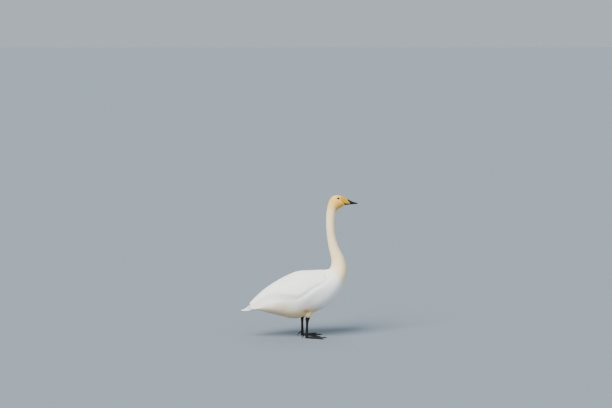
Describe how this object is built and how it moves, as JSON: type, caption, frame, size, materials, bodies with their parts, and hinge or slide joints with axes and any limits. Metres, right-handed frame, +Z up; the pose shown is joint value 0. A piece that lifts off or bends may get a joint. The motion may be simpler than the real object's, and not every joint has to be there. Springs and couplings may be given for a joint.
{
  "type": "whooper swan",
  "caption": "Life-size still model of an adult whooper swan standing with its neck upright and wings folded, with white plumage, a yellow and black bill and black webbed feet.",
  "frame": {"origin": "centre of the bounding box's underside, at the level of the soles", "axes": "+X forward along the bird from tail to bill, +Y to the bird's left, +Z up"},
  "size_m": [0.814, 0.3136, 0.9859],
  "materials": {
    "plumage_white": "soft overlapping white feathers, faintly cool, matt with a slight silky sheen",
    "plumage_cream": "short dense white feathers with a light cream stain",
    "plumage_buff": "very short fine feathers stained buff, deepest on the cheek and throat",
    "bill_yellow": "smooth horn, golden yellow at the base and black at the tip",
    "bill_black": "smooth black horn",
    "eye_brown": "wet dark brown, nearly black",
    "leg_black": "black scaled skin, semi-matt",
    "claw_horn": "dark grey-black horn, semi-gloss"
  },
  "bodies": {
    "root": {"trunk": "plumage_white", "tail": "plumage_white", "wing_left": "plumage_white", "wing_right": "plumage_white", "neck_low": "plumage_cream", "neck_middle": "plumage_cream", "thigh_left": "plumage_cream", "thigh_right": "plumage_cream", "neck_high": "plumage_buff", "head": "plumage_buff", "bill_upper": "bill_yellow", "bill_lower": "bill_black", "eye_left": "eye_brown", "eye_right": "eye_brown", "shank_left": "leg_black", "shank_right": "leg_black", "foot_left": "leg_black", "foot_right": "leg_black", "hallux_left": "leg_black", "hallux_right": "leg_black", "claw_left_inner": "claw_horn", "claw_left_middle": "claw_horn", "claw_left_outer": "claw_horn", "claw_left_hallux": "claw_horn", "claw_right_inner": "claw_horn", "claw_right_middle": "claw_horn", "claw_right_outer": "claw_horn", "claw_right_hallux": "claw_horn"}
  },
  "joints": []
}
